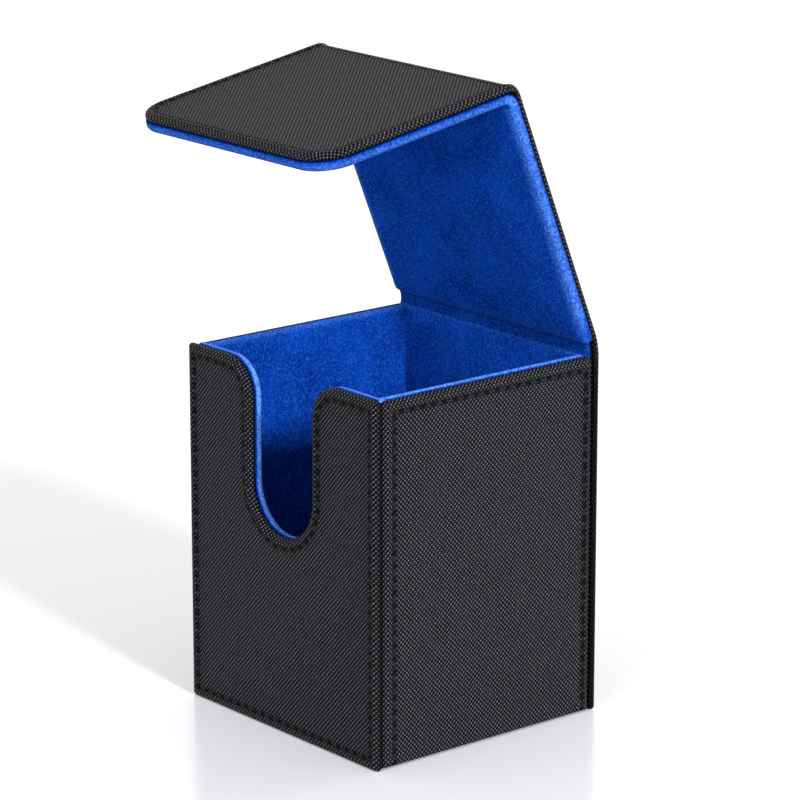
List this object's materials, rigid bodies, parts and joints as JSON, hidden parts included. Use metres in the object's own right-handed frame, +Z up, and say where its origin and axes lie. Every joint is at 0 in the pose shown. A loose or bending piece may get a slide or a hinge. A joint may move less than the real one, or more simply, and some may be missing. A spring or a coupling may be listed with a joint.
{
  "type": "card deck box",
  "caption": "Upright leather-covered box for a deck of sleeved trading cards, with a thumb notch and a hinged lid whose front flap folds down and holds shut.",
  "frame": {"origin": "centre of the box's bottom face, on the surface that it stands on", "axes": "+X to the box's right, -Y towards the front with the thumb notch, +Z up"},
  "size_m": [0.08, 0.0948, 0.1762],
  "materials": {
    "black_leather": "matte black leather, fine cross-weave emboss",
    "blue_suede": "royal blue suede, short mottled nap",
    "grey_board": "stiff grey binder's board",
    "black_thread": "waxed black sewing thread",
    "nickel_magnet": "nickel-plated disc magnet"
  },
  "bodies": {
    "box": {"front_leather": "black_leather", "back_leather": "black_leather", "left_leather": "black_leather", "right_leather": "black_leather", "base_leather": "black_leather", "front_board": "grey_board", "back_board": "grey_board", "left_board": "grey_board", "right_board": "grey_board", "base_board": "grey_board", "front_lining_board": "grey_board", "back_lining_board": "grey_board", "left_lining_board": "grey_board", "right_lining_board": "grey_board", "base_lining_board": "grey_board", "front_lining": "blue_suede", "back_lining": "blue_suede", "left_lining": "blue_suede", "right_lining": "blue_suede", "base_lining": "blue_suede", "front_stitching": "black_thread", "back_stitching": "black_thread", "left_stitching": "black_thread", "right_stitching": "black_thread", "front_magnets": "nickel_magnet", "lid_hinge_leather": "black_leather", "lid_hinge_lining": "blue_suede"},
    "lid_cover": {"lid_leather": "black_leather", "lid_board": "grey_board", "lid_stitching": "black_thread", "lid_lining": "blue_suede", "lid_lining_board": "grey_board", "fold_leather": "black_leather", "fold_lining": "blue_suede"},
    "flap": {"flap_leather": "black_leather", "flap_board": "grey_board", "flap_lining_board": "grey_board", "flap_lining": "blue_suede", "flap_stitching": "black_thread", "flap_magnets": "nickel_magnet"}
  },
  "joints": [
    {"name": "lid_hinge", "type": "hinge", "parent": "box", "child": "lid_cover", "pos_m": [0, 0.0355, 0.1022], "axis": [-1, 0, 0], "range_deg": [-68, 112], "deforming": ["lid_hinge_leather", "lid_hinge_lining"]},
    {"name": "flap_fold", "type": "hinge", "parent": "lid_cover", "child": "flap", "pos_m": [0, 0.00822, 0.176], "axis": [1, 0, 0], "range_deg": [-78, 12], "deforming": ["fold_leather", "fold_lining"]}
  ]
}
